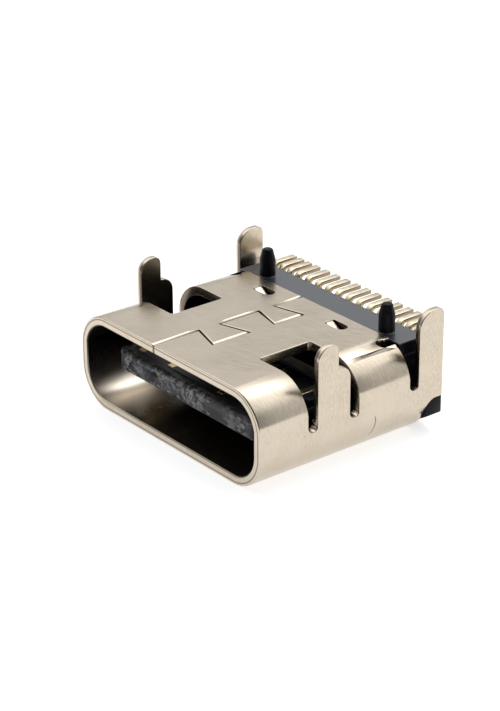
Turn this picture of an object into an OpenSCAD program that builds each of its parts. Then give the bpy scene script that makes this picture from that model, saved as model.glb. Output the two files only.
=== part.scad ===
// Sixteen-contact reversible socket for a circuit board, shown lying on its
// back: the flat rest face is down, the board side with its legs, pegs and
// solder feet is up, and the mouth faces -Y. All lengths are in millimetres.
// Depths named *_y are measured from the mouth's rim, backwards into the socket.

/* [Shell] */
// Outer width of the shell across the mouth
shell_w = 8.94; // [8.6:0.02:9.4]
// Outer height of the shell from the rest face to the board-side face
shell_h = 3.16; // [3.0:0.02:3.4]
// Thickness of the sheet that the shell is folded from
sheet_t = 0.30; // [0.2:0.01:0.34]
// Outer corner radius on the rest side
rest_corner_r = 1.25; // [1.0:0.05:1.4]
// Outer corner radius on the board side
board_corner_r = 1.30; // [1.1:0.05:1.4]
// Height of the crease where each board-side corner meets the flat side
crease_h = 2.10; // [1.95:0.05:2.3]
// Length of the board-side plate
board_plate_l = 5.88; // [5.7:0.02:6.0]
// Length of the rest-side plate
rest_plate_l = 6.55; // [6.3:0.05:6.7]
// Radius of the reliefs where the board-side plate's rear edge meets each corner
relief_r = 0.19; // [0.12:0.01:0.22]
// How far a relief's middle lies outside the line where the corner starts to bend
relief_out = 0.36; // [0.3:0.01:0.42]
// How far a relief's middle lies ahead of the board-side plate's rear edge
relief_in = 0.38; // [0.25:0.01:0.45]
// Inner radius of the notch behind each side, under the rear leg
rear_notch_r = 0.42; // [0.2:0.01:0.5]

/* [Seam] */
// Width of the gap where the folded sheet's two edges meet
seam_gap = 0.05; // [0.03:0.01:0.1]
// How far the seam's cut is carried past the plate's two ends
seam_overrun = 1; // [0.5:0.1:2]
// Distance of the seam from the middle of the shell
seam_x = -0.65; // [-0.9:0.05:-0.4]
// How far each dovetail key reaches across the seam
key_reach = 1.12; // [0.8:0.02:1.3]
// Depth of the first key's middle
key_1_y = 2.15; // [1.9:0.05:2.3]
// Width of the first key at its neck
key_1_neck_w = 0.78; // [0.5:0.02:0.9]
// Width of the first key at its head
key_1_head_w = 1.42; // [1.1:0.02:1.6]
// Depth of the second key's middle
key_2_y = 4.42; // [4.2:0.02:4.6]
// Width of the second key at its neck
key_2_neck_w = 0.62; // [0.4:0.02:0.8]
// Width of the second key at its head
key_2_head_w = 1.16; // [0.9:0.02:1.3]

/* [Legs] */
// How far the legs stand above the board-side face
leg_reach = 1.00; // [0.8:0.05:1.4]
// Thickness of the legs, coined thinner than the sheet
leg_t = 0.22; // [0.16:0.01:0.3]
// Depth of the front legs' leading edge
front_leg_y = 2.22; // [2.14:0.02:2.3]
// Width of a front leg at its root
front_leg_w = 1.25; // [1.15:0.01:1.3]
// Width of a front leg's tip
front_tip_w = 0.78; // [0.6:0.01:0.8]
// Depth of the rear legs' leading edge
rear_leg_y = 6.24; // [6.15:0.01:6.3]
// Width of a rear leg
rear_leg_w = 0.98; // [0.88:0.01:1.0]
// Radius on the leading corner of a front leg's tip
front_tip_r = 0.47; // [0.3:0.01:0.48]
// Radius on the leading corner of a rear leg's tip
rear_tip_r = 0.56; // [0.3:0.02:0.6]
// Radius on the trailing corner of every leg's tip
tip_trail_r = 0.24; // [0.1:0.02:0.26]
// Radius of the shoulder by which a front leg widens to its root
shoulder_r = 0.42; // [0.1:0.02:0.44]
// How far that shoulder stands above the board-side face
shoulder_rise = 0.17; // [0:0.01:0.3]
// Distance from the middle of the shell to the inner edge of a front window
window_x = 2.15; // [2.0:0.05:2.3]
// Radius of the front windows' inner corners
window_corner_r = 0.12; // [0.05:0.01:0.14]
// Width of the relief slot ahead of each front leg
lead_slot_w = 0.37; // [0.3:0.01:0.4]
// Width of the relief slot behind each front leg
trail_slot_w = 0.37; // [0.3:0.01:0.4]
// Height of the bottoms of the slots beside the front legs
front_slot_h = 1.53; // [1.35:0.01:1.6]
// Height of the bottoms of the slots ahead of the rear legs
rear_slot_h = 1.69; // [1.5:0.01:1.8]
// Height of the lower edge of the rear legs' roots
rear_root_h = 1.20; // [1.05:0.05:1.3]

/* [Lances] */
// Distance of the lances' middles from the middle of the shell
lance_x = 1.76; // [1.6:0.02:1.9]
// Depth of the lances' middles
lance_y = 5.28; // [5.2:0.02:5.4]
// Length of a lance's opening
lance_l = 0.76; // [0.6:0.02:0.9]
// Width of a lance's opening
lance_w = 0.40; // [0.3:0.02:0.44]
// Angle at which a lance dips into its pocket
lance_angle = 24; // [15:1:30]
// Thickness of a lance, coined thinner than the sheet
lance_t = 0.18; // [0.12:0.01:0.2]
// How far a lance's root is coined below the board-side face
lance_sink = 0.02; // [0.01:0.01:0.05]
// Clearance between a lance and its opening's edges
lance_fit = 0.07; // [0.04:0.01:0.08]

/* [Housing] */
// Clearance between the shell and the moulding inside it
shell_fit = 0.02; // [0.01:0.01:0.05]
// Depth of the mouth's back wall
back_wall_y = 5.02; // [4.9:0.02:5.02]
// Depth of the housing's rear face beside the contacts
housing_y = 7.22; // [7.22:0.01:7.3]
// Depth of the recessed rear face behind the contacts
recess_y = 6.96; // [6.9:0.02:7.0]
// Width of the pad that carries the pegs
pad_w = 7.76; // [7.7:0.02:7.9]
// How far the peg pad stays below the board-side face
pad_drop = 0.09; // [0.05:0.01:0.15]
// Height of the ledge along each end of the peg pad
pad_ledge_h = 2.66; // [2.5:0.02:2.8]
// Width of that ledge
pad_ledge_w = 0.09; // [0.04:0.01:0.12]
// Gap between the shell's board-side plate and the peg pad
pad_gap = 0.05; // [0.02:0.01:0.1]
// Height of the lower edges of the corners that fill the notches behind the sides
heel_h = 0.62; // [0.5:0.02:0.8]
// Width of the chamfer between such a corner's side and the rest face
heel_chamfer = 1.00; // [0.9:0.02:1.1]

/* [Pegs] */
// Distance of each peg from the middle
peg_x = 2.89; // [2.8:0.01:3.0]
// Depth of the pegs
peg_y = 6.30; // [6.25:0.01:6.4]
// Diameter of a peg's straight stretch
peg_d = 0.52; // [0.4:0.02:0.6]
// Height of a peg above the board-side face
peg_reach = 0.84; // [0.6:0.02:1.0]
// Height of a peg's tapered and rounded end
peg_nose_l = 0.36; // [0.2:0.02:0.4]
// Diameter of a peg's end
peg_tip_d = 0.38; // [0.34:0.01:0.44]
// Radius of the round edge at a peg's end
peg_edge_r = 0.09; // [0.05:0.01:0.12]

/* [Tongue] */
// Width of the tongue
tongue_w = 6.69; // [6.6:0.01:6.8]
// Thickness of the tongue
tongue_t = 0.70; // [0.66:0.02:0.76]
// Depth of the tongue's tip
tip_y = 0.60; // [0.5:0.05:0.8]
// Chamfer along the upper and lower edges of the tip
tip_chamfer = 0.09; // [0.04:0.01:0.12]
// Radius of the tongue's front corners, seen from above
tongue_corner_r = 0.24; // [0.1:0.02:0.3]
// Depth of the thicker root's step
root_y = 3.95; // [3.8:0.05:4.1]
// Thickness of the root
root_t = 1.30; // [1.2:0.02:1.4]
// Depth of the latch notches in the tongue's sides
notch_y = 1.90; // [1.7:0.05:2.1]
// Length of a latch notch
notch_l = 0.90; // [0.7:0.05:1.0]
// How far a latch notch reaches into the tongue
notch_in = 0.28; // [0.2:0.01:0.3]

/* [Carriers and plates] */
// Width of the two moulded strips that carry the contacts
carrier_w = 5.90; // [5.84:0.01:5.94]
// Depth of the carriers' front edge
carrier_y = 1.00; // [0.95:0.01:1.05]
// Depth of the carriers' rear edge
carrier_end_y = 5.60; // [5.5:0.05:5.8]
// Thickness of the middle plate
mid_t = 0.15; // [0.1:0.01:0.18]
// Depth of the middle plate's rear edge
mid_end_y = 6.40; // [6.2:0.05:6.6]
// Width of the middle plate's tabs that show in the tip
mid_tab_w = 0.24; // [0.16:0.02:0.3]
// Distance of those tabs from the middle
mid_tab_x = 2.90; // [2.8:0.02:2.95]
// Thickness of the two ground plates on the root
ground_t = 0.12; // [0.08:0.01:0.15]
// How far a ground plate's lip reaches down the root's step
ground_lip = 0.17; // [0.1:0.01:0.19]
// Width of a ground plate
ground_w = 6.40; // [6.0:0.05:6.6]

/* [Contacts] */
// Spacing of neighbouring signal contacts on the tongue
contact_pitch = 0.50; // [0.48:0.01:0.52]
// Thickness of the contact strip
contact_t = 0.10; // [0.08:0.01:0.12]
// Width of a power or ground contact on the tongue
power_w = 0.28; // [0.24:0.01:0.28]
// Width of a signal contact on the tongue
signal_w = 0.24; // [0.2:0.01:0.28]
// Depth at which the power and ground contacts surface
power_y = 1.05; // [1.05:0.01:1.2]
// Depth at which the signal contacts surface
signal_y = 1.30; // [1.25:0.01:1.5]
// Width of the narrow end by which a contact shows in the tip
tail_w = 0.17; // [0.12:0.01:0.2]
// Depth at which the contacts start to spread to their leads' places
spread_y = 5.30; // [5.2:0.02:5.4]
// Depth at which the leads run straight back again
spread_end_y = 6.40; // [6.3:0.02:6.5]
// Width of a solder lead
lead_w = 0.24; // [0.2:0.01:0.26]
// Thickness of a solder lead
lead_t = 0.14; // [0.1:0.01:0.16]
// Depth of the ends of the solder feet
foot_end_y = 7.92; // [7.8:0.02:8.2]
// How far the solder feet stand above the board-side face
foot_rise = 0.02; // [0:0.01:0.05]
// Outer bend radius between a lead's riser and its foot
bend_r = 0.24; // [0.18:0.01:0.3]

/* [Hidden] */
$fn = 48;
eps = 0.01;
far = 20;

metal = [0.80, 0.76, 0.69];
gold = [0.93, 0.85, 0.66];
black = [0.11, 0.11, 0.13];
slate = [0.20, 0.21, 0.24];
steel = [0.66, 0.66, 0.67];

half_w = shell_w / 2;
inner_half_w = half_w - sheet_t;
mid_z = shell_h / 2;
tongue_half_t = tongue_t / 2;
corner_z = shell_h - board_corner_r;
corner_x = half_w - sqrt(pow(board_corner_r, 2) - pow(crease_h - corner_z, 2));
rest_corner_x = half_w - rest_corner_r;
leg_top = shell_h + leg_reach;
foot_top = shell_h + foot_rise;
pad_z = shell_h - pad_drop;
window_y = front_leg_y - lead_slot_w;
window_end_y = front_leg_y + front_leg_w + trail_slot_w;
lead_gap = 0.02;                        // between the recessed face and the risers
riser_y = recess_y + lead_gap;
half_mid_t = mid_t / 2;
contact_in = tongue_half_t - contact_t; // inner face of a contact above the tongue's middle
ground_out = root_t / 2 + ground_t;     // outer face of a ground plate, likewise
lug_l = 0.35;                           // length of the lugs that key plates into the block
lug_w = 0.60;                           // width of a lug
lug_x = 2.30;                           // distance of a lug from the middle
window_sink = 0.08;                     // how far the windows reach below the corners' curves
pocket_room = 0.1;                      // room at the ends and the floor of a lance's pocket
recess_drop = 0.3;                      // how far the rear recess reaches below the tongue

// Each contact: its place on the tongue, its lead's place, both in pitches, and
// whether it carries power. Row a lies on the rest side, row b on the board side.
outer_pair_x = 6.5;
inner_pair_x = 4.9;
outer_split = 0.38;
inner_split = 0.42;
row_a = [
    [1, 5.5, outer_pair_x + outer_split, true],
    [4, 2.5, inner_pair_x - inner_split, true],
    [5, 1.5, 2.5, false],
    [6, 0.5, 0.5, false],
    [7, -0.5, -0.5, false],
    [8, -1.5, -2.5, false],
    [9, -2.5, -inner_pair_x + inner_split, true],
    [12, -5.5, -outer_pair_x - outer_split, true]
];
row_b = [
    [1, -5.5, -outer_pair_x + outer_split, true],
    [4, -2.5, -inner_pair_x - inner_split, true],
    [5, -1.5, -3.5, false],
    [6, -0.5, -1.5, false],
    [7, 0.5, 1.5, false],
    [8, 1.5, 3.5, false],
    [9, 2.5, inner_pair_x + inner_split, true],
    [12, 5.5, outer_pair_x - outer_split, true]
];

// The origin lies on the rest face, halfway between the rim and the feet's ends.
module placed() {
    translate([0, -foot_end_y / 2, 0]) children();
}

module both_sides() {
    children();
    mirror([1, 0, 0]) children();
}

// Extrudes an outline drawn in X and Z from one depth to another.
module along_y(from, to) {
    translate([0, to, 0]) rotate([90, 0, 0]) linear_extrude(to - from) children();
}

// Extrudes an outline drawn in Y and Z from one side place to another.
module along_x(from, to) {
    translate([from, 0, 0]) rotate([90, 0, 90]) linear_extrude(to - from) children();
}

module box(x0, x1, y0, y1, z0, z1) {
    translate([x0, y0, z0]) cube([x1 - x0, y1 - y0, z1 - z0]);
}

module rect(x0, x1, y0, y1) {
    translate([x0, y0]) square([x1 - x0, y1 - y0]);
}

// The shell's cross-section, moved inwards by inset: round corners on the rest
// side, and board-side corners that meet the flat sides at a crease.
module section(inset) {
    side = half_w - inset;
    board_r = board_corner_r - inset;
    rest_r = rest_corner_r - inset;
    intersection() {
        union() {
            rect(-corner_x, corner_x, mid_z, shell_h - inset);
            rect(-side, side, mid_z, corner_z);
            for (s = [-1, 1]) translate([s * corner_x, corner_z]) circle(board_r);
        }
        rect(-side, side, mid_z, shell_h);
    }
    rect(-rest_corner_x, rest_corner_x, inset, mid_z);
    rect(-side, side, rest_corner_r, mid_z);
    for (s = [-1, 1]) translate([s * rest_corner_x, rest_corner_r]) circle(rest_r);
}

// A leg's outline in Y and Z: straight sides, a large leading radius at the tip
// and a small trailing one.
module leg_outline(y0, w, z0, lead_r) {
    y1 = y0 + w;
    r = min(lead_r, w - tip_trail_r - eps);
    rect(y0, y1, z0, leg_top - r);
    rect(y0 + r, y1, z0, leg_top - tip_trail_r);
    rect(y0 + r, y1 - tip_trail_r, z0, leg_top);
    translate([y1 - tip_trail_r, leg_top - tip_trail_r]) circle(tip_trail_r);
    intersection() {
        rect(y0, y0 + r, z0, leg_top);
        translate([y0 + r, leg_top - r]) circle(r);
    }
}

// A front leg is a narrow tip on a wide root, joined by one round shoulder.
module front_leg() {
    root_end = front_leg_y + front_leg_w;
    shoulder_z = shell_h + shoulder_rise;
    along_x(half_w - leg_t, half_w) {
        leg_outline(front_leg_y, front_tip_w, rest_corner_r, front_tip_r);
        rect(front_leg_y, root_end, rest_corner_r, shoulder_z - shoulder_r);
        rect(front_leg_y + front_tip_w / 2, root_end - shoulder_r, rest_corner_r, shoulder_z);
        translate([root_end - shoulder_r, shoulder_z - shoulder_r]) circle(shoulder_r);
    }
}

module rear_leg() {
    along_x(half_w - leg_t, half_w)
        leg_outline(rear_leg_y, rear_leg_w, rear_root_h, rear_tip_r);
}

// A round-bottomed slot through a side, open upwards.
module side_slot(y0, y1, bottom) {
    r = (y1 - y0) / 2;
    along_x(inner_half_w - board_corner_r, half_w + eps) {
        rect(y0, y1, bottom + r, leg_top);
        translate([y0 + r, bottom + r]) circle(r);
    }
}

// The opening round a front leg: a slot on each side of it, and the part of the
// corner and of the board-side plate that the leg was cut from.
module front_window() {
    leg_end = front_leg_y + front_leg_w;
    r = window_corner_r;
    side_slot(window_y, front_leg_y, front_slot_h);
    side_slot(leg_end, window_end_y, front_slot_h);
    translate([0, 0, corner_z - window_sink]) linear_extrude(far) {
        rect(window_x + r, far, window_y, window_end_y);
        rect(window_x, far, window_y + r, window_end_y - r);
        for (y = [window_y + r, window_end_y - r])
            translate([window_x + r, y]) circle(r);
    }
}

// The outline, in Y and Z, of what lies behind and below the rear leg's root,
// grown or shrunk by a clearance.
module rear_notch(inset) {
    corner_y = rest_plate_l + rear_notch_r;
    corner_z = rear_root_h - rear_notch_r;
    rect(corner_y, far, -far, rear_root_h - inset);
    rect(rest_plate_l + inset, far, -far, corner_z);
    translate([corner_y, corner_z]) circle(rear_notch_r - inset);
}

// What the shell lacks behind its board-side plate: everything above the slot
// ahead of each rear leg, and the notch below that leg's root.
module rear_cut() {
    slot_r = (rear_leg_y - board_plate_l) / 2;
    side_slot(board_plate_l, rear_leg_y, rear_slot_h);
    box(-far, far, board_plate_l, far, rear_slot_h + slot_r, far);
    along_x(-far, far) rear_notch(0);
}

// The four corners of a dovetail key.
function key_points(y, neck_w, head_w) = [
    [seam_x, y - neck_w / 2],
    [seam_x + key_reach, y - head_w / 2],
    [seam_x + key_reach, y + head_w / 2],
    [seam_x, y + neck_w / 2]
];

function seam_points() = [
    [seam_x, -seam_overrun],
    each key_points(key_1_y, key_1_neck_w, key_1_head_w),
    each key_points(key_2_y, key_2_neck_w, key_2_head_w),
    [seam_x, board_plate_l + seam_overrun]
];

// The gap between the folded sheet's edges, along its dovetail keys.
module seam_cut() {
    points = seam_points();
    translate([0, 0, shell_h - sheet_t - eps]) linear_extrude(sheet_t + 2 * eps)
        for (i = [0 : len(points) - 2]) {
            step = points[i + 1] - points[i];
            translate(points[i]) rotate(atan2(step[1], step[0]))
                rect(-seam_gap / 2, norm(step) + seam_gap / 2, -seam_gap / 2, seam_gap / 2);
        }
}

module lance_opening() {
    r = lance_w / 2;
    translate([0, 0, shell_h - sheet_t - eps]) linear_extrude(sheet_t + 2 * eps) {
        rect(-lance_l / 2, lance_l / 2 - r, lance_y - r, lance_y + r);
        translate([lance_l / 2 - r, lance_y]) circle(r);
    }
}

// The tab that dips from the opening's straight end.
module lance_tab() {
    half_tab = lance_w / 2 - lance_fit;
    translate([-lance_l / 2, lance_y, shell_h - lance_sink]) rotate([0, lance_angle, 0])
        box(-lance_fit, lance_l - 2 * lance_fit, -half_tab, half_tab, -lance_t, 0);
}

// Round relief where the board-side plate's rear edge meets each corner.
module corner_relief() {
    relief_x = corner_x + relief_out;
    relief_y = board_plate_l - relief_in;
    translate([0, 0, crease_h]) linear_extrude(far) {
        translate([relief_x, relief_y]) circle(relief_r);
        rect(relief_x - relief_r / 2, relief_x + relief_r, relief_y, far);
    }
}

module shell() {
    color(metal) placed() {
        difference() {
            along_y(0, rear_leg_y + rear_leg_w) difference() {
                section(0);
                section(sheet_t);
            }
            both_sides() {
                front_window();
                corner_relief();
            }
            rear_cut();
            seam_cut();
            for (x = [-lance_x, lance_x]) translate([x, 0, 0]) lance_opening();
        }
        both_sides() {
            front_leg();
            rear_leg();
        }
        for (x = [-lance_x, lance_x]) translate([x, 0, 0]) lance_tab();
    }
}

// The tongue's plan outline, back to a given depth.
module tongue_plan(end_y) {
    half = tongue_w / 2;
    difference() {
        union() {
            rect(-half, half, tip_y + tongue_corner_r, end_y);
            rect(-half + tongue_corner_r, half - tongue_corner_r, tip_y, end_y);
            for (s = [-1, 1])
                translate([s * (half - tongue_corner_r), tip_y + tongue_corner_r])
                    circle(tongue_corner_r);
        }
        for (s = [-1, 1])
            translate([s * half, notch_y + notch_l / 2])
                square([2 * notch_in, notch_l], center = true);
    }
}

// The tongue's side outline: chamfered tip, straight body and thicker root.
module tongue_profile() {
    t = tongue_half_t;
    root = root_t / 2;
    c = tip_chamfer;
    polygon([
        [tip_y, mid_z - t + c], [tip_y + c, mid_z - t], [root_y - c, mid_z - t],
        [root_y, mid_z - root], [back_wall_y + eps, mid_z - root],
        [back_wall_y + eps, mid_z + root], [root_y, mid_z + root],
        [root_y - c, mid_z + t], [tip_y + c, mid_z + t], [tip_y, mid_z + t - c]
    ]);
}

module tongue() {
    intersection() {
        linear_extrude(shell_h) tongue_plan(back_wall_y + eps);
        along_x(-tongue_w, tongue_w) tongue_profile();
    }
}

// A contact carrier's blank: a strip between the middle plate and the contacts.
module carrier_blank(side) {
    z0 = side > 0 ? mid_z + half_mid_t : mid_z - tongue_half_t;
    z1 = side > 0 ? mid_z + tongue_half_t : mid_z - half_mid_t;
    box(-carrier_w / 2, carrier_w / 2, carrier_y, carrier_end_y, z0, z1);
}

module mid_blank() {
    half = tongue_w / 2;
    tab = mid_tab_w / 2;
    translate([0, 0, mid_z - half_mid_t]) linear_extrude(mid_t) {
        difference() {
            rect(-half, half, carrier_y, back_wall_y);
            for (s = [-1, 1])
                translate([s * half, notch_y + notch_l / 2])
                    square([2 * notch_in, notch_l], center = true);
        }
        rect(-carrier_w / 2, carrier_w / 2, back_wall_y - eps, mid_end_y);
        for (s = [-1, 1]) rect(s * mid_tab_x - tab, s * mid_tab_x + tab, tip_y, carrier_y + eps);
    }
}

// A ground plate on one face of the root, with a lip down its step and two lugs
// that key into the block behind.
module ground_blank(side) {
    half = ground_w / 2;
    root = root_t / 2;
    mirror([0, 0, side > 0 ? 0 : 1]) {
        box(-half, half, root_y - ground_t, back_wall_y, root, ground_out);
        box(-half, half, root_y - ground_t, root_y, root - ground_lip, root + eps);
        for (s = [-1, 1])
            box(s * lug_x - lug_w / 2, s * lug_x + lug_w / 2,
                back_wall_y - eps, back_wall_y + lug_l, root, ground_out);
    }
}

module ground_place(side) {
    translate([0, 0, mid_z]) ground_blank(side);
}

// A contact strip, drawn for the board-side row about the tongue's middle: a
// buried tip, the mating face, a jog to the lead's place, a riser and a foot.
module contact_blank(place, side) {
    x0 = place[1] * contact_pitch;
    x1 = place[2] * contact_pitch;
    w = place[3] ? power_w : signal_w;
    start = place[3] ? power_y : signal_y;
    lead0 = x1 - lead_w / 2;
    lead1 = x1 + lead_w / 2;
    bend_y = riser_y + bend_r;
    bend_z = foot_top - bend_r;
    z0 = side > 0 ? mid_z + contact_in : mid_z - tongue_half_t;
    tip_z = side > 0 ? mid_z + contact_in - contact_t : mid_z - contact_in;
    box(x0 - w / 2, x0 + w / 2, start, spread_y, z0, z0 + contact_t);
    box(x0 - tail_w / 2, x0 + tail_w / 2, tip_y, start + w / 2, tip_z, tip_z + contact_t);
    translate([0, 0, z0]) linear_extrude(contact_t) {
        polygon([
            [x0 - w / 2, spread_y - eps], [x0 + w / 2, spread_y - eps],
            [lead1, spread_end_y], [lead0, spread_end_y]
        ]);
        rect(lead0, lead1, spread_end_y - eps, riser_y + lead_t);
    }
    along_x(lead0, lead1) {
        rect(riser_y, riser_y + lead_t, z0, bend_z);
        rect(bend_y, foot_end_y, foot_top - lead_t, foot_top);
        intersection() {
            difference() {
                translate([bend_y, bend_z]) circle(bend_r);
                translate([bend_y, bend_z]) circle(bend_r - lead_t);
            }
            rect(riser_y, bend_y, bend_z, foot_top);
        }
    }
}

module every_contact() {
    for (place = row_a) contact_blank(place, -1);
    for (place = row_b) contact_blank(place, 1);
}

module carrier(side) {
    difference() {
        carrier_blank(side);
        every_contact();
    }
}

// A locating peg: a straight stretch and a tapered nose with a round edge.
module peg() {
    r = peg_d / 2;
    tip_r = peg_tip_d / 2;
    flat_r = tip_r - peg_edge_r;
    nose_z = shell_h + peg_reach - peg_nose_l;
    translate([peg_x, peg_y, 0]) {
        translate([0, 0, pad_z - eps]) cylinder(r = r, h = nose_z - pad_z + eps);
        translate([0, 0, nose_z])
            rotate_extrude() {
                polygon([
                    [0, 0], [r, 0], [tip_r, peg_nose_l - peg_edge_r],
                    [flat_r, peg_nose_l], [0, peg_nose_l]
                ]);
                translate([flat_r, peg_nose_l - peg_edge_r]) circle(peg_edge_r);
            }
    }
}

// The cross-section of the block behind the shell's rest-side plate: sides flush
// with the shell's down to the heels' edges, then a chamfer to the rest face.
module heel_section() {
    side = half_w - shell_fit;
    polygon([
        [-side, rear_root_h], [-side, heel_h], [heel_chamfer - side, shell_fit],
        [side - heel_chamfer, shell_fit], [side, heel_h], [side, rear_root_h]
    ]);
}

// The block that closes the shell behind the mouth: it fills the shell, and its
// heels fill the notches behind the sides.
module block() {
    half_pad = pad_w / 2;
    pad_y = board_plate_l + pad_gap;
    along_y(back_wall_y, housing_y) section(sheet_t + shell_fit);
    intersection() {
        along_y(rest_plate_l + shell_fit, housing_y) heel_section();
        along_x(-far, far) rear_notch(shell_fit);
    }
    box(-half_pad, half_pad, pad_y, housing_y, mid_z, pad_z);
    box(-half_pad - pad_ledge_w, half_pad + pad_ledge_w, pad_y, housing_y, mid_z, pad_ledge_h);
}

// Pocket that a lance dips into.
module lance_pocket() {
    half = lance_l / 2 + pocket_room;
    floor_z = shell_h - sheet_t - lance_l * sin(lance_angle) - pocket_room;
    box(-half, half, lance_y - lance_w / 2, lance_y + lance_w / 2, floor_z, shell_h);
}

module housing() {
    half_recess = (outer_pair_x + outer_split) * contact_pitch + lead_w;
    recess_floor = mid_z - tongue_half_t - recess_drop;
    color(black) placed() difference() {
        union() {
            block();
            tongue();
            both_sides() peg();
        }
        box(-half_recess, half_recess, recess_y, far, recess_floor, far);
        carrier_blank(1);
        carrier_blank(-1);
        mid_blank();
        ground_place(1);
        ground_place(-1);
        every_contact();
        for (x = [-lance_x, lance_x]) translate([x, 0, 0]) lance_pocket();
    }
}

module carrier_a() { color(slate) placed() carrier(-1); }
module carrier_b() { color(slate) placed() carrier(1); }
module mid_plate() { color(steel) placed() mid_blank(); }
module ground_plate_a() { color(steel) placed() ground_place(-1); }
module ground_plate_b() { color(steel) placed() ground_place(1); }

module contact_a(i) { color(gold) placed() contact_blank(row_a[i], -1); }
module contact_b(i) { color(gold) placed() contact_blank(row_b[i], 1); }

shell();
housing();
carrier_a();
carrier_b();
mid_plate();
ground_plate_a();
ground_plate_b();
contact_a(0);  // contact_a1
contact_a(1);  // contact_a4
contact_a(2);  // contact_a5
contact_a(3);  // contact_a6
contact_a(4);  // contact_a7
contact_a(5);  // contact_a8
contact_a(6);  // contact_a9
contact_a(7);  // contact_a12
contact_b(0);  // contact_b1
contact_b(1);  // contact_b4
contact_b(2);  // contact_b5
contact_b(3);  // contact_b6
contact_b(4);  // contact_b7
contact_b(5);  // contact_b8
contact_b(6);  // contact_b9
contact_b(7);  // contact_b12
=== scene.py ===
"""A reversible sixteen-contact socket for a circuit board, lying on its back, dressed for a studio picture.

Lengths are worked out in millimetres and turned into metres by MM. The frame's axes are the part's own:
X across the mouth, -Y out of the mouth, +Z towards the board side with its legs, pegs and solder feet.
"""
import math

import bmesh
import bpy
from mathutils import Matrix, Vector


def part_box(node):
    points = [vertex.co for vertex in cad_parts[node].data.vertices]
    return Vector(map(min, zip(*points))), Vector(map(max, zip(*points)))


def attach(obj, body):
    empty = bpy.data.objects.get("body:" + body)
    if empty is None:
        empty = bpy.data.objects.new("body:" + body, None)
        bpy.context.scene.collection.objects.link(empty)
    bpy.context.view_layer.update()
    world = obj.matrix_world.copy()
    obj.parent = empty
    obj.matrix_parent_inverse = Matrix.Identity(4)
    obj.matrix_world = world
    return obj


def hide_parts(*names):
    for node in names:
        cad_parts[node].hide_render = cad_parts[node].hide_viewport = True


MM = 0.001
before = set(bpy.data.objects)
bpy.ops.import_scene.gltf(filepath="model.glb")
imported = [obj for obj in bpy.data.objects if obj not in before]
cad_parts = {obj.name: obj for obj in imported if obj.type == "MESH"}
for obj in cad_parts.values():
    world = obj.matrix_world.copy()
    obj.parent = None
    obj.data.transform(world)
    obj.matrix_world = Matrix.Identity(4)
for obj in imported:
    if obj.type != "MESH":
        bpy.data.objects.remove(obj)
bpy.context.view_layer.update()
scene = bpy.context.scene


# ---------------------------------------------------------------- places on the socket, in millimetres

SHEET_MM = 0.30                         # the shell's sheet
LEG_SHEET_MM = 0.22                     # its legs, which are thinner
LEG_REACH_MM = 1.0                      # the legs' height above the board side
PAD_DROP_MM = 0.09                      # the depth of the pegs' pad below the board side
CORNER_R_MM = 1.275                     # the rim's outer corners, between the fold's two radii
FRONT_LEGS_FROM_MM = -1.74              # the front legs' leading edges
FRONT_LEGS_END_MM = -0.40               # just behind their trailing edges
LEG_EDGE_FROM_MM = 1.6                  # about the bottoms of the slots beside the legs
SEAM_FROM_X, SEAM_TO_X = -0.80, 0.60    # the strip of the board side that the seam keeps to
TIP_GROOVES_MM = 0.50                   # how far from the tongue's tip the contacts' grooves lie close

# Middles and radii of the places where the shell's cuts leave little room, on its right side and its left
SMALL_CUTS_MM = (
    ((1.76, 1.32, 3.05), 0.55),         # lances
    ((3.60, 1.40, 2.76), 0.75),         # reliefs at the ends of the corners
    ((4.40, 2.28, 1.25), 0.25),         # ends of the slots ahead of the rear legs
    ((4.40, 2.90, 0.90), 0.60),         # notches below the rear legs
)

shell_low, shell_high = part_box("shell")
shell_top_mm = shell_high[2] / MM - LEG_REACH_MM
shell_half_w_mm = shell_high[0] / MM
rim_y_mm = shell_low[1] / MM
tongue_tip_y_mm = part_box("housing")[0][1] / MM
pad_top_mm = shell_top_mm - PAD_DROP_MM


# ---------------------------------------------------------------- shader expressions

class Wire:
    """One output of a node. Arithmetic on wires and numbers adds the Math nodes that work it out."""

    def __init__(self, nodes, socket):
        self.nodes = nodes
        self.socket = socket

    def _math(self, operation, first, second=None):
        values = {0: first} if second is None else {0: first, 1: second}
        return self.nodes.node("ShaderNodeMath", {"operation": operation}, values)

    def __add__(self, other):
        return self._math("ADD", self, other)

    __radd__ = __add__

    def __mul__(self, other):
        return self._math("MULTIPLY", self, other)

    __rmul__ = __mul__

    def __sub__(self, other):
        return self._math("SUBTRACT", self, other)

    def __rsub__(self, other):
        return self._math("SUBTRACT", other, self)

    def __pow__(self, other):
        return self._math("POWER", self, other)

    def __abs__(self):
        return self._math("ABSOLUTE", self)

    def at_least(self, other):
        """The larger of the two."""
        return self._math("MAXIMUM", self, other)

    def at_most(self, other):
        """The smaller of the two."""
        return self._math("MINIMUM", self, other)

    def ramp(self, low, high):
        """0 up to low, 1 from high, and smooth between them."""
        return self.nodes.node(
            "ShaderNodeMapRange",
            {"interpolation_type": "SMOOTHSTEP"},
            {"Value": self, "From Min": low, "From Max": high},
        )

    def fade(self, low, high):
        """1 up to low, 0 from high, and smooth between them."""
        return 1 - self.ramp(low, high)


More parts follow.
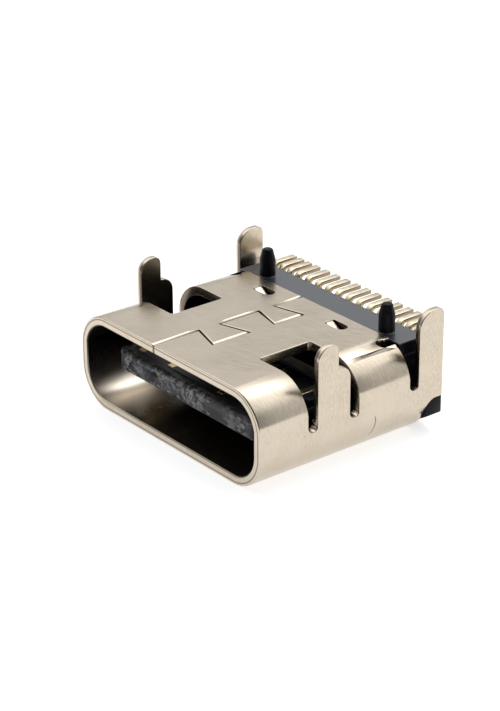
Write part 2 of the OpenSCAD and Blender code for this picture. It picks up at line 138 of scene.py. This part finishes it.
class Nodes:
    """A node tree, and the one way in which nodes are added to it."""

    def __init__(self, tree):
        self.tree = tree

    def node(self, kind, settings=None, sockets=None, output=0):
        """Adds a node, makes its settings, feeds its sockets with values or wires, and gives one output."""
        made = self.tree.nodes.new(kind)
        for name, value in (settings or {}).items():
            setattr(made, name, value)
        for name, value in (sockets or {}).items():
            self.plug(value, made.inputs[name])
        return Wire(self, made.outputs[output])

    def plug(self, value, socket):
        """Links a wire to a socket, or sets the socket to a value."""
        if isinstance(value, Wire):
            self.tree.links.new(value.socket, socket)
        else:
            socket.default_value = value

    def vector(self, operation, first, second, output=0):
        """Vector arithmetic on two vectors, each a wire or three numbers."""
        return self.node("ShaderNodeVectorMath", {"operation": operation}, {0: first, 1: second}, output)

    def component(self, vector, name):
        """A vector's X, Y or Z."""
        return self.node("ShaderNodeSeparateXYZ", sockets={0: vector}, output=name)


class Finish(Nodes):
    """One material for a piece of the socket. Its patterns are drawn in the part's own millimetres."""

    def __init__(self, name, **constants):
        self.material = bpy.data.materials.new(name)
        self.material.use_nodes = True
        super().__init__(self.material.node_tree)
        self.shader = self.tree.nodes["Principled BSDF"]
        for socket, value in constants.items():
            self.shader.inputs[socket].default_value = value
        place = self.node("ShaderNodeTexCoord", output="Object")
        self.place = self.node("ShaderNodeVectorMath", {"operation": "SCALE"}, {0: place, "Scale": 1 / MM})
        self.outward = self.node("ShaderNodeTexCoord", output="Normal")

    def feed(self, **wires):
        """Links wires to the shader's sockets, whose names are written with underscores for spaces."""
        for socket, wire in wires.items():
            self.plug(wire, self.shader.inputs[socket.replace("_", " ")])

    def axis(self, name):
        """The point's place along X, Y or Z, in millimetres."""
        return self.component(self.place, name)

    def squareness(self, name):
        """1 where the surface faces straight along X, Y or Z, either way, and 0 where it runs along it."""
        return abs(self.component(self.outward, name))

    def faces_axis(self, height_mm):
        """1 where the surface faces the line along Y at a height in the part's middle, and 0 outside."""
        away = self.vector("SUBTRACT", self.place, (0, 0, height_mm))
        away = self.vector("MULTIPLY", away, (1, 0, 1))
        outwards = self.vector("DOT_PRODUCT", away, self.outward, "Value")
        return (0 - outwards).ramp(0.0, 0.3)

    def stretched(self, x, y, z, turn_deg=0):
        """The point's place, turned about Z and stretched, so that noise on it runs in streaks."""
        turned = self.node("ShaderNodeVectorRotate", {"rotation_type": "Z_AXIS"}, {
            "Vector": self.place, "Angle": math.radians(turn_deg)})
        return self.vector("MULTIPLY", turned, (x, y, z))

    def noise(self, scale, detail=3.0, rough=0.55, vector=None):
        """Noise from 0 to 1, with about as many blotches to the millimetre as its scale says."""
        return self.node("ShaderNodeTexNoise", sockets={
            "Vector": vector or self.place, "Scale": scale, "Detail": detail, "Roughness": rough})

    def near(self, point, radius):
        """1 at a point, given in millimetres, and 0 from a radius outwards."""
        return self.vector("DISTANCE", self.place, point, "Value").fade(0, radius)

    def blend(self, factor, first, second):
        """A colour between two colours, each a wire or three numbers."""
        first, second = (c if isinstance(c, Wire) else (*c, 1) for c in (first, second))
        return self.node("ShaderNodeMix", {"data_type": "RGBA"}, {0: factor, 6: first, 7: second}, output=2)

    def bump(self, height, strength, distance_mm):
        """Raises the surface by a height between 0 and 1, times a distance."""
        return self.node("ShaderNodeBump", sockets={
            "Height": height, "Strength": strength, "Distance": distance_mm * MM})


# ---------------------------------------------------------------- finishes

RIM_LINE_MM = 0.095                     # how deep the rim's dark line, a painted shade line, lies, from its outside
RIM_INNER_SHADE_MM = (0.245, 0.275)            # over which depths the rim's inner edge turns dark, as painted shade
SCRATCH_Y_MM, SCRATCH_Z_MM = -0.24, 1.13        # the middle of the scratch's circle
SCRATCH_R_MM = 0.77                     # its radius
SCRATCH_FROM_MM = (0.3, 0.4)            # where it starts, along Y
SCRATCH_HEIGHT_MM = 1.0                 # the height of its own middle
SCRATCH_REACH_MM = (0.25, 0.36)         # where it fades, above that height and below
RIGHT_WALL_MM = (4.0, 4.05)             # the right wall lies beyond these places, along X
INNER_SIDE_MM = (3.7, 4.1)              # over which distance from the middle the inner corners grow dark, as painted shade
INNER_SIDE_FOOT_MM = (0.6, 1.1)         # and over which height
PAINTED_LIGHT_POOL_MM = (-3.3, -3.0, 0.3)        # the middle of a painted pool of light, low on the left inside the mouth
PAINTED_LIGHT_POOL_R_MM = 2.1                    # its radius
TINNED_FEET_MM = (2.95, 3.2)            # where the contacts' gold turns into tin, along Y


def rim_depth(finish, x, z):
    """How far a point on the rim lies inside its outline, a rectangle with round corners.

    x and z are the point's distances from the middle. In a corner, the depth is the corner's radius less the
    distance from the corner's own middle. Elsewhere it is the distance from the nearest side.
    """
    past_x = x - shell_half_w_mm + CORNER_R_MM
    past_z = z - 0.5 * shell_top_mm + CORNER_R_MM
    out_x, out_z = past_x.at_least(0.0), past_z.at_least(0.0)
    from_corner = (out_x * out_x + out_z * out_z) ** 0.5
    return CORNER_R_MM - from_corner - past_x.at_least(past_z).at_most(0.0)


def shear_and_shade_marks(finish):
    """How dark the sheared edges are painted, dull metal with painted shade: in bands round the rim, and
    down the legs' inner halves.
    """
    x, z = abs(finish.axis("X")), abs(finish.axis("Z") - 0.5 * shell_top_mm)
    behind_rim = finish.axis("Y") - rim_y_mm
    depth = rim_depth(finish, x, z)
    bands = abs(depth - RIM_LINE_MM).fade(0.010, 0.035) + 0.8 * depth.ramp(*RIM_INNER_SHADE_MM)
    on_rim = behind_rim.fade(0.006, 0.020)
    above_slots = (finish.axis("Z") - LEG_EDGE_FROM_MM).ramp(0.0, 0.5)
    legs = above_slots * finish.squareness("Y").ramp(0.55, 0.85) * behind_rim.ramp(0.5, 1.0)
    inside_half = (x - shell_half_w_mm + 0.5 * LEG_SHEET_MM).fade(0.0, 0.03)
    return (bands * on_rim * 0.75 + legs * inside_half * 0.9).at_most(1.0)


def rub_marks(finish):
    """0.9 along a curved scratch low on the right side, which is part of a circle, and 0 elsewhere."""
    x, y, z = (finish.axis(name) for name in "XYZ")
    off_y, off_z = y - SCRATCH_Y_MM, z - SCRATCH_Z_MM
    span = (off_y * off_y + off_z * off_z) ** 0.5
    line = abs(span - SCRATCH_R_MM).fade(0.006, 0.030)
    arc = line * y.ramp(*SCRATCH_FROM_MM) * abs(z - SCRATCH_HEIGHT_MM).fade(*SCRATCH_REACH_MM)
    return x.ramp(*RIGHT_WALL_MM) * arc * 0.9


def plated_shell():
    """Nickel over rolled sheet: warm and satin, with fine brushing, cloudy patches, pits and rub marks.

    Inside the mouth and on the front legs' inner faces the colour is darkened as painted shade, darkest at
    the sides.
    """
    deep, pale, brushed_tone = (0.49, 0.42, 0.325), (0.58, 0.505, 0.405), (0.60, 0.525, 0.425)
    pit_tone, inner_shade_tone, side_shade_tone = (0.30, 0.25, 0.19), (0.34, 0.295, 0.24), (0.04, 0.036, 0.034)
    painted_light_tone, sheared_and_shaded_tone, rubbed_tone = (0.95, 0.86, 0.74), (0.13, 0.105, 0.085), (0.16, 0.12, 0.085)
    finish = Finish("nickel_plated_sheet", Metallic=1.0)
    below_top = (shell_top_mm - finish.axis("Z")).ramp(0.0, 0.1)
    front_legs = (finish.axis("Y") - FRONT_LEGS_END_MM).fade(0.0, 0.1)
    inner = finish.faces_axis(0.5 * shell_top_mm) * below_top.at_least(front_legs)
    clouds = finish.noise(0.55, detail=4.0)
    brushed = finish.noise(7.0, vector=finish.stretched(0.22, 3.2, 1.0, turn_deg=-28))
    grain = finish.noise(26.0, detail=2.0)
    pits = finish.noise(9.0, detail=2.0).ramp(0.66, 0.76)
    # painted light: a pale pool low on the left inside the mouth, which is also a little rougher
    lit = finish.near(PAINTED_LIGHT_POOL_MM, PAINTED_LIGHT_POOL_R_MM) * inner
    ahead_of_legs = (finish.axis("Y") - FRONT_LEGS_FROM_MM).fade(-0.3, 0.0)
    sideways = abs(finish.axis("X")).ramp(*INNER_SIDE_MM)
    inner_side_shade = inner * ahead_of_legs * sideways * finish.axis("Z").ramp(*INNER_SIDE_FOOT_MM)
    tone = finish.blend(clouds.ramp(0.35, 0.65), deep, pale)
    tone = finish.blend(brushed.ramp(0.25, 0.75), tone, brushed_tone)
    tone = finish.blend(pits * (0.3 - 0.3 * inner), tone, pit_tone)
    # painted shade: the inside of the mouth and the front legs' inner faces darkened
    tone = finish.blend(inner, tone, inner_shade_tone)
    # painted shade: the inner corners at the mouth's sides near black
    tone = finish.blend(inner_side_shade, tone, side_shade_tone)
    tone = finish.blend(lit, tone, painted_light_tone)
    # painted shade lines round the rim and down the legs' edges, over dull sheared metal
    tone = finish.blend(shear_and_shade_marks(finish), tone, sheared_and_shaded_tone)
    tone = finish.blend(rub_marks(finish), tone, rubbed_tone)
    relief = (brushed * 0.5 + grain * 0.12) * (1 - inner * 0.8) + clouds * 0.5
    finish.feed(
        Base_Color=tone,
        Roughness=0.15 + clouds * 0.10 + brushed * 0.09 + lit * 0.16,
        Normal=finish.bump(relief, strength=0.24, distance_mm=0.010),
    )
    return finish.material


def crumpled_tip(finish):
    """How far plugs have scuffed the moulding grey: along folds at the tongue's tip, and 0 elsewhere."""
    tip = (finish.axis("Y") - tongue_tip_y_mm).fade(0.02, 0.50)
    folds = abs(finish.noise(2.4, rough=0.65) - 0.5) * 9.0
    patches = finish.noise(0.9, detail=2.0).ramp(0.36, 0.54)
    return tip * (0.20 + 0.78 * folds.fade(0.05, 0.70) * patches)


def moulded_black():
    """Black moulding: fine matt grain over a slight gloss, with faint flow lines and a coated pad, paler and
    bluer as a painted sheen.
    """
    black, sooty = (0.003, 0.003, 0.006), (0.006, 0.006, 0.011)
    scuffed_tone, painted_sheen_tone = (0.24, 0.24, 0.255), (0.020, 0.024, 0.036)
    finish = Finish("moulded_black", **{"IOR": 1.22, "Coat IOR": 1.60, "Coat Roughness": 0.30})
    grain = finish.noise(24.0)
    flow = finish.noise(2.5, vector=finish.stretched(1.0, 0.4, 1.0))
    pad = abs(finish.axis("Z") - pad_top_mm).fade(0.02, 0.06)
    scuffed = crumpled_tip(finish)
    tone = finish.blend(flow.ramp(0.3, 0.7), black, sooty)
    tone = finish.blend(scuffed, tone, scuffed_tone)
    finish.feed(
        # painted sheen: the pad's top face paler and bluer
        Base_Color=finish.blend(pad, tone, painted_sheen_tone),
        Coat_Weight=pad,
        Roughness=0.26 + flow * 0.12 + grain * 0.10,
        Normal=finish.bump(grain * 0.3 + scuffed, strength=0.30, distance_mm=0.015),
    )
    return finish.material


def moulded_slate():
    """The contact carriers: the same kind of moulding, a little greyer."""
    slate, pale_slate, scuffed_tone = (0.006, 0.006, 0.009), (0.012, 0.012, 0.017), (0.16, 0.16, 0.17)
    finish = Finish("moulded_slate", IOR=1.40)
    grain = finish.noise(18.0)
    scuffed = crumpled_tip(finish)
    tone = finish.blend(grain.ramp(0.3, 0.7), slate, pale_slate)
    finish.feed(
        Base_Color=finish.blend(scuffed, tone, scuffed_tone),
        Roughness=0.30 + grain * 0.16,
        Normal=finish.bump(grain * 0.3 + scuffed, strength=0.35, distance_mm=0.02),
    )
    return finish.material


def steel_in_painted_shade():
    """Stamped stainless strip with rolling lines, painted near black as the shade inside the shell."""
    # painted shade: the plates inside the shell near black
    dark, light = (0.10, 0.10, 0.11), (0.15, 0.15, 0.16)
    finish = Finish("steel_in_painted_shade", Metallic=1.0)
    rolled = finish.noise(10.0, detail=2.0, vector=finish.stretched(0.3, 3.0, 3.0))
    finish.feed(
        Base_Color=finish.blend(rolled.ramp(0.3, 0.7), dark, light),
        Roughness=0.30 + rolled * 0.12,
        Normal=finish.bump(rolled, strength=0.2, distance_mm=0.005),
    )
    return finish.material


def plated_contact():
    """Copper-alloy strip: pale gold with dark cut ends, and tinned at the feet, whose sides are painted dark
    brown as painted shade.
    """
    deep_gold, pale_gold, cut_tone = (0.66, 0.50, 0.26), (0.78, 0.62, 0.36), (0.13, 0.11, 0.09)
    deep_tin, pale_tin, tarnish_tone = (0.74, 0.63, 0.44), (0.88, 0.80, 0.64), (0.60, 0.44, 0.26)
    feet_side_shade_tone = (0.20, 0.145, 0.09)
    finish = Finish("plated_contact", Metallic=1.0)
    tinned = finish.axis("Y").ramp(*TINNED_FEET_MM)
    cut_end = (finish.axis("Y") - tongue_tip_y_mm).fade(0.01, 0.04)
    side = finish.squareness("X").ramp(0.60, 0.90)
    cloud = finish.noise(5.0)
    tarnish = finish.noise(2.2).ramp(0.45, 0.75)
    gold = finish.blend(cloud.ramp(0.3, 0.7), deep_gold, pale_gold)
    gold = finish.blend(cut_end, gold, cut_tone)
    tin = finish.blend(cloud.ramp(0.35, 0.65), deep_tin, pale_tin)
    tin = finish.blend(tarnish * 0.5, tin, tarnish_tone)
    # painted shade: the feet's sides dark brown
    tin = finish.blend(side * 0.85, tin, feet_side_shade_tone)
    finish.feed(
        Base_Color=finish.blend(tinned, gold, tin),
        Roughness=0.20 + tinned * 0.06 + cloud * 0.12,
        Normal=finish.bump(cloud, strength=0.25, distance_mm=0.008),
    )
    return finish.material


def studio_floor():
    """A white light table: matt, faintly clouded, and lit from within."""
    finish = Finish(
        "light_table", **{"Roughness": 0.9, "Emission Color": (1, 1, 1, 1), "Emission Strength": 0.72})
    clouds = finish.noise(0.4, detail=2.0)
    finish.feed(Base_Color=finish.blend(clouds, (0.60, 0.60, 0.60), (0.64, 0.64, 0.64)))
    return finish.material


# ---------------------------------------------------------------- camera, floor and light

VIEW_AZIMUTH_DEG, VIEW_ELEVATION_DEG, VIEW_ROLL_DEG = 51.30, 24.60, -0.25
VIEW_DISTANCE_MM = 70.74
VIEW_TARGET_MM = (-0.321, -0.470, 1.910)
LENS_MM, SENSOR_MM = 114.67, 36
NEAREST_MM, FARTHEST_MM = 1, 5000
SKY_TINT = (0.98, 0.99, 1.0)
HORIZON_GLOW = 0.60
LOW_SKY_GLOW, OVERHEAD_GLOW = 0.24, 1.00        # what the sky gains on its way up
FRONT_CORNER = (0.62, -0.72, 0.31)      # towards the studio's dark corner, which the mouth faces
CORNER_SHADE = 0.93                     # how much light that corner loses
FLOOR_REACH_MM = 800


def place_camera():
    """A long lens that looks down on the socket from in front of its right side."""
    azimuth = math.radians(VIEW_AZIMUTH_DEG)
    elevation = math.radians(VIEW_ELEVATION_DEG)
    roll = math.radians(VIEW_ROLL_DEG)
    distance = VIEW_DISTANCE_MM * MM
    target = Vector(VIEW_TARGET_MM) * MM
    back = Vector((
        math.sin(azimuth) * math.cos(elevation),
        -math.cos(azimuth) * math.cos(elevation),
        math.sin(elevation),
    ))
    level = Vector((math.cos(azimuth), math.sin(azimuth), 0))
    right = Matrix.Rotation(roll, 3, back) @ level
    up = back.cross(right)
    attitude = Matrix((right, up, back)).transposed().to_4x4()
    lens = bpy.data.cameras.new("studio_camera")
    lens.lens = LENS_MM
    lens.sensor_width = SENSOR_MM
    lens.clip_start = NEAREST_MM * MM
    lens.clip_end = FARTHEST_MM * MM
    camera = bpy.data.objects.new("studio_camera", lens)
    camera.matrix_world = Matrix.Translation(target + back * distance) @ attitude
    scene.collection.objects.link(camera)
    scene.camera = camera


def softbox(name, towards, distance_mm, width_mm, height_mm, radiance, tint):
    """An area light that faces the socket from a direction; its power follows from radiance and area."""
    light = bpy.data.lights.new(name, "AREA")
    light.shape = "RECTANGLE"
    light.size = width_mm * MM
    light.size_y = height_mm * MM
    light.energy = radiance * math.pi * light.size * light.size_y
    light.color = tint
    body = bpy.data.objects.new(name, light)
    direction = Vector(towards).normalized()
    body.location = direction * distance_mm * MM
    body.rotation_mode = "QUATERNION"
    body.rotation_quaternion = direction.to_track_quat("Z", "Y")
    body.visible_camera = False
    scene.collection.objects.link(body)


def light_studio():
    """Soft light from a pale sky: bright overhead, grey along the horizon and dark in front of the mouth.

    One softbox above and behind the socket adds the glints.
    """
    world = bpy.data.worlds.new("studio")
    scene.world = world
    world.use_nodes = True
    sky = Nodes(world.node_tree)
    towards = sky.node("ShaderNodeTexCoord", output="Generated")
    height = sky.component(towards, "Z")
    facing = sky.vector("DOT_PRODUCT", towards, FRONT_CORNER, "Value")
    glow = HORIZON_GLOW + LOW_SKY_GLOW * height.ramp(0.0, 0.42) + OVERHEAD_GLOW * height.ramp(0.45, 0.80)
    shade = 1 - CORNER_SHADE * facing.ramp(0.05, 0.70)
    background = world.node_tree.nodes["Background"]
    background.inputs["Color"].default_value = (*SKY_TINT, 1)
    sky.plug(glow * shade, background.inputs["Strength"])
    softbox(
        "key_box", towards=(-0.15, 0.55, 0.95), distance_mm=150, width_mm=60, height_mm=50,
        radiance=2.4, tint=(1.0, 0.98, 0.95))
    scene.view_settings.view_transform = "Standard"
    scene.view_settings.look = "None"


def lay_floor():
    """One wide square at the height of the rest face."""
    mesh = bpy.data.meshes.new("floor")
    reach = FLOOR_REACH_MM * MM
    corners = [(-reach, -reach, 0), (reach, -reach, 0), (reach, reach, 0), (-reach, reach, 0)]
    mesh.from_pydata(corners, [], [(0, 1, 2, 3)])
    mesh.materials.append(studio_floor())
    floor = bpy.data.objects.new("floor", mesh)
    scene.collection.objects.link(floor)


# ---------------------------------------------------------------- pieces

MERGE_MM = 0.0005                       # vertices this close are one
FLAT_DEG = 1.5                          # faces this little apart are one flat face
SHARP_DEG = 32                          # edges that turn further than this are rounded
CROSSING_COSINE = 0.35                  # edges whose angle has a smaller cosine cross each other
ROOM_SHARE = 0.4                        # the share of a crossing edge that a rounding may take
ROLLED_NORMAL_X = 0.5                   # the seam's rolled side faces +X by more than this
SEAM_FACET_MM = 0.03                    # the seam's facets up to this size are joined
ON_FACE_MM = 0.01                       # how close to a face its own edges lie

# Widths of the rounded edges
WIDEST_EDGE_MM = 0.12
RIM_EDGE_MM = 0.045
SHEARED_EDGE_MM = 0.025
MOULDED_EDGE_MM = 0.02
CONTACT_EDGE_MM = 0.018
PLATE_EDGE_MM = 0.01
FINE_EDGE_MM = 0.006


def in_seam_strip(x_mm):
    """Whether a place across the board side lies in the strip that the seam keeps to."""
    return SEAM_FROM_X < x_mm < SEAM_TO_X


def room_beside(edge, sharp):
    """The widest rounding, in millimetres, that the sharp edges crossing this one's ends leave room for."""
    room = math.inf
    for vert in edge.verts:
        along = (edge.other_vert(vert).co - vert.co).normalized()
        for other in vert.link_edges:
            if other is edge or other not in sharp:
                continue
            across = other.other_vert(vert).co - vert.co
            if abs(along.dot(across.normalized())) < CROSSING_COSINE:
                room = min(room, across.length / MM * ROOM_SHARE)
    return room


def join_seam_corners(work):
    """Joins the tiny facets at the corners of the seam's keys, which leave no room for a rounding."""
    lowest_mm = shell_top_mm - SHEET_MM - ON_FACE_MM
    near = [vert for vert in work.verts if in_seam_strip(vert.co.x / MM) and vert.co.z / MM > lowest_mm]
    bmesh.ops.remove_doubles(work, verts=near, dist=SEAM_FACET_MM * MM)


def merged_mesh(node, name, width_mm, prepare):
    """A copy of a CAD node's mesh with its doubles merged and its flat faces joined.

    Each sharp edge carries the width of its rounding as a weight, which is its share of the widest one.
    """
    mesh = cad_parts[node].data.copy()
    mesh.name = name
    work = bmesh.new()
    work.from_mesh(mesh)
    bmesh.ops.remove_doubles(work, verts=work.verts, dist=MERGE_MM * MM)
    if prepare:
        prepare(work)
    bmesh.ops.dissolve_limit(work, angle_limit=math.radians(FLAT_DEG), verts=work.verts, edges=work.edges)
    for face in work.faces:
        face.smooth = True
    weight = work.edges.layers.float.new("bevel_weight_edge")
    sharp = {edge for edge in work.edges if edge.calc_face_angle(0) > math.radians(SHARP_DEG)}
    for edge in sharp:
        edge[weight] = min(width_mm(edge), room_beside(edge, sharp)) / WIDEST_EDGE_MM
    work.to_mesh(mesh)
    work.free()
    return mesh


def round_edges(piece, segments):
    """Rounds the edges by their weights, shades the flat faces flat and cuts every face into triangles."""
    rounding = piece.modifiers.new("rounded_edges", "BEVEL")
    rounding.width = WIDEST_EDGE_MM * MM
    rounding.segments = segments
    rounding.limit_method = "WEIGHT"
    rounding.use_clamp_overlap = False
    rounding.miter_outer = "MITER_ARC" if segments > 2 else "MITER_SHARP"
    flattening = piece.modifiers.new("flat_faces", "WEIGHTED_NORMAL")
    flattening.weight = 100
    flattening.keep_sharp = False
    cutting = piece.modifiers.new("even_triangles", "TRIANGULATE")
    cutting.keep_custom_normals = True


def dressed(node, name, material, edge_mm, segments=2, prepare=None):
    """A piece that takes a CAD node's place, with the node's form, rounded edges and a finish.

    edge_mm is the width of the rounding, or a function that gives it for an edge. prepare is a function that
    mends the merged mesh before its flat faces are joined.
    """
    width_mm = edge_mm if callable(edge_mm) else lambda edge: edge_mm
    mesh = merged_mesh(node, name, width_mm, prepare)
    mesh.materials.clear()
    mesh.materials.append(material)
    piece = bpy.data.objects.new(name, mesh)
    scene.collection.objects.link(piece)
    round_edges(piece, segments)
    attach(piece, "root")
    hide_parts(node)
    return piece


def middle_mm(edge):
    """The middle of an edge, in millimetres."""
    return (edge.verts[0].co + edge.verts[1].co) / (2 * MM)


def shell_edge(edge):
    """Sheared edges are slightly rounded; along the seam and round the rim the sheet rolls over further."""
    middle = middle_mm(edge)
    mirrored = Vector((abs(middle.x), middle.y, middle.z))
    if any((mirrored - Vector(centre)).length < reach for centre, reach in SMALL_CUTS_MM):
        return FINE_EDGE_MM
    if middle.z > shell_top_mm - ON_FACE_MM and in_seam_strip(middle.x):
        rolled_side = sum(face.normal.x for face in edge.link_faces) > ROLLED_NORMAL_X
        return WIDEST_EDGE_MM if rolled_side else RIM_EDGE_MM
    if middle.y < rim_y_mm + ON_FACE_MM:
        return RIM_EDGE_MM
    return SHEARED_EDGE_MM


def housing_edge(edge):
    """The moulding's edges are softened, except at the tongue's tip, where grooves lie close together."""
    return 0 if middle_mm(edge).y < tongue_tip_y_mm + TIP_GROOVES_MM else MOULDED_EDGE_MM


# ---------------------------------------------------------------- the scene

place_camera()
light_studio()
lay_floor()

nickel = plated_shell()
black = moulded_black()
slate = moulded_slate()
steel = steel_in_painted_shade()
contact_plating = plated_contact()

dressed(
    "shell", "folded_shell", nickel, shell_edge, segments=3, prepare=join_seam_corners)
dressed("housing", "moulded_housing", black, housing_edge)
for side in "ab":
    dressed(f"carrier_{side}", f"contact_carrier_{side}", slate, FINE_EDGE_MM)
    dressed(f"ground_plate_{side}", f"stamped_ground_plate_{side}", steel, PLATE_EDGE_MM)
dressed("mid_plate", "stamped_mid_plate", steel, PLATE_EDGE_MM)
for node in sorted(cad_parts):
    if node.startswith("contact_"):
        plated_name = node.replace("contact", "plated_contact")
        dressed(node, plated_name, contact_plating, CONTACT_EDGE_MM)
